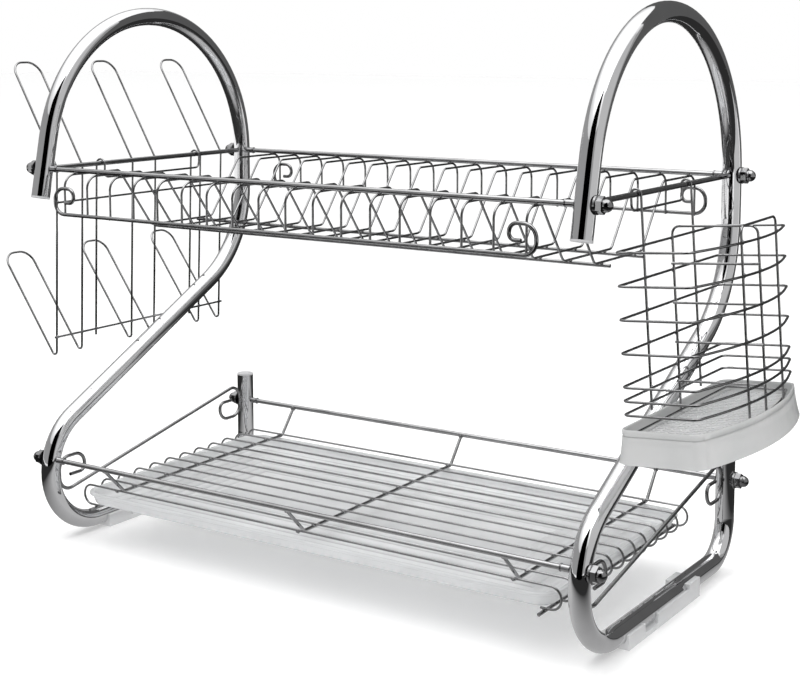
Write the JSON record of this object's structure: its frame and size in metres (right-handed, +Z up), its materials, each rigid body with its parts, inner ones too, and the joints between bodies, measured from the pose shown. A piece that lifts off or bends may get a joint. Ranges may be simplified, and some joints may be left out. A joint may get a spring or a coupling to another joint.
{
  "type": "dish drying rack",
  "caption": "Tiered chrome wire dish rack with S-shaped tube sides, a plate basket over a shelf, a sliding drip tray, a hanging cutlery basket and a mug rack.",
  "frame": {"origin": "on the surface the rack stands on, under the middle of the whole rack with both hanging baskets", "axes": "+X along the rack towards the cutlery basket, +Y from the front to the back, +Z up"},
  "size_m": [0.5869, 0.2552, 0.4003],
  "materials": {
    "chrome_tube": "bright chrome plate",
    "chrome_rod": "bright chrome plate",
    "chrome_wire": "chrome plated wire",
    "chrome_fastener": "bright chrome plate",
    "cap_plastic": "moulded plastic",
    "foot_plastic": "translucent moulded plastic",
    "tray_plastic": "translucent moulded plastic",
    "cup_plastic": "translucent moulded plastic"
  },
  "bodies": {
    "rack": {"dome_nuts": "chrome_fastener", "left_arch_cap": "cap_plastic", "left_foot_strip": "foot_plastic", "left_hanging_rod": "chrome_rod", "left_scroll_brace": "chrome_wire", "left_side_tube": "chrome_tube", "left_stub_cap": "cap_plastic", "lower_back_rod": "chrome_rod", "lower_cross_wires": "chrome_wire", "lower_front_rod": "chrome_rod", "lower_grid_wires": "chrome_wire", "lower_left_end_hooks": "chrome_wire", "lower_left_tray_bar": "chrome_wire", "lower_right_end_hooks": "chrome_wire", "lower_right_tray_bar": "chrome_wire", "plate_back_rail": "chrome_wire", "plate_bottom_wires": "chrome_wire", "plate_dividers": "chrome_wire", "plate_front_rail": "chrome_wire", "right_arch_cap": "cap_plastic", "right_foot_strip": "foot_plastic", "right_hanging_rod": "chrome_rod", "right_scroll_brace": "chrome_wire", "right_side_tube": "chrome_tube", "right_stub_cap": "cap_plastic", "upper_back_rod": "chrome_rod", "upper_front_rod": "chrome_rod", "washers": "chrome_fastener"},
    "drip_tray": {"drip_tray": "tray_plastic"},
    "cutlery_basket": {"cutlery_divider_frame": "chrome_wire", "cutlery_divider_rungs": "chrome_wire", "cutlery_hook_wire": "chrome_wire", "cutlery_outer_stiffener": "chrome_wire", "cutlery_ring_1": "chrome_wire", "cutlery_ring_2": "chrome_wire", "cutlery_ring_3": "chrome_wire", "cutlery_ring_4": "chrome_wire", "cutlery_ring_5": "chrome_wire", "cutlery_ring_6": "chrome_wire", "cutlery_ring_7": "chrome_wire", "cutlery_ring_8": "chrome_wire"},
    "cutlery_cup": {"cutlery_drip_cup": "cup_plastic"},
    "mug_rack": {"mug_hook_wire": "chrome_wire", "mug_lower_bar": "chrome_wire", "mug_prong_wire_1": "chrome_wire", "mug_prong_wire_2": "chrome_wire", "mug_prong_wire_3": "chrome_wire", "mug_upper_bar": "chrome_wire"}
  },
  "joints": [
    {"name": "tray_slide", "type": "slide", "parent": "rack", "child": "drip_tray", "axis": [0, -1, 0], "range_m": [0, 0.2]},
    {"name": "cutlery_lift", "type": "slide", "parent": "rack", "child": "cutlery_basket", "axis": [0, 0, 1], "range_m": [0, 0.024]},
    {"name": "cup_pull", "type": "slide", "parent": "cutlery_basket", "child": "cutlery_cup", "axis": [0.0732, 0, -0.9973], "range_m": [0, 0.03]},
    {"name": "mug_rack_lift", "type": "slide", "parent": "rack", "child": "mug_rack", "axis": [0, 0, 1], "range_m": [0, 0.024]}
  ]
}
